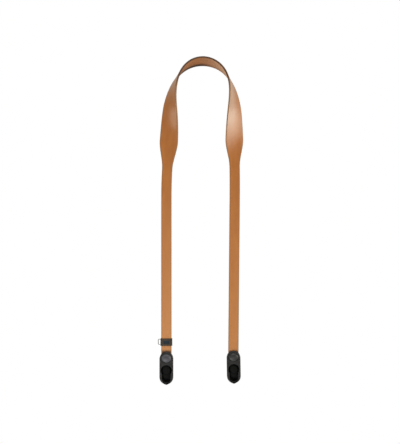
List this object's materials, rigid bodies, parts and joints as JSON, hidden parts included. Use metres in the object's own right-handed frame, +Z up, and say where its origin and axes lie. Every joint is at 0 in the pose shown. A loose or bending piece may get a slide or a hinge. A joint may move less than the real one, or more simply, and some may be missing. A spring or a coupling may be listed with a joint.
{
  "type": "camera neck strap",
  "caption": "Leather camera neck strap, wide over the neck, twisting down to narrow legs that end in quick-release housings with sprung tongues.",
  "frame": {"origin": "middle of the crown's underside, where the band sits on the neck", "axes": "+Z up along the hanging legs, +X from the left leg to the right leg as seen in the picture, +Y away from the viewer"},
  "size_m": [0.1149, 0.0366, 0.4429],
  "materials": {
    "leather": "semi-gloss tan grain side, fibrous brown underside, dark burnished edges",
    "housing_plastic": "fine satin moulding",
    "tongue_plastic": "satin moulding",
    "pin_steel": "plain turned",
    "keeper_rubber": "matt moulding",
    "loop_wire": "bright nickel-plated wire"
  },
  "bodies": {
    "strap_body": {"strap": "leather", "left_housing": "housing_plastic", "right_housing": "housing_plastic", "left_pin": "pin_steel", "right_pin": "pin_steel"},
    "left_tongue_body": {"left_tongue": "tongue_plastic"},
    "right_tongue_body": {"right_tongue": "tongue_plastic"},
    "keeper": {"keeper_band": "keeper_rubber", "keeper_loop": "loop_wire"}
  },
  "joints": [
    {"name": "left_release", "type": "hinge", "parent": "strap_body", "child": "left_tongue_body", "pos_m": [-0.04902, -0.01767, -0.40734], "axis": [1, 0, 0], "range_deg": [0, 5], "stiffness_Nm_per_rad": 0.3},
    {"name": "right_release", "type": "hinge", "parent": "strap_body", "child": "right_tongue_body", "pos_m": [0.04147, -0.01418, -0.40623], "axis": [0.9998, 0, 0.0174], "range_deg": [0, 5], "stiffness_Nm_per_rad": 0.3},
    {"name": "keeper_slide", "type": "slide", "parent": "strap_body", "child": "keeper", "axis": [0, 0, 1], "range_m": [-0.0075, 0.17]}
  ]
}
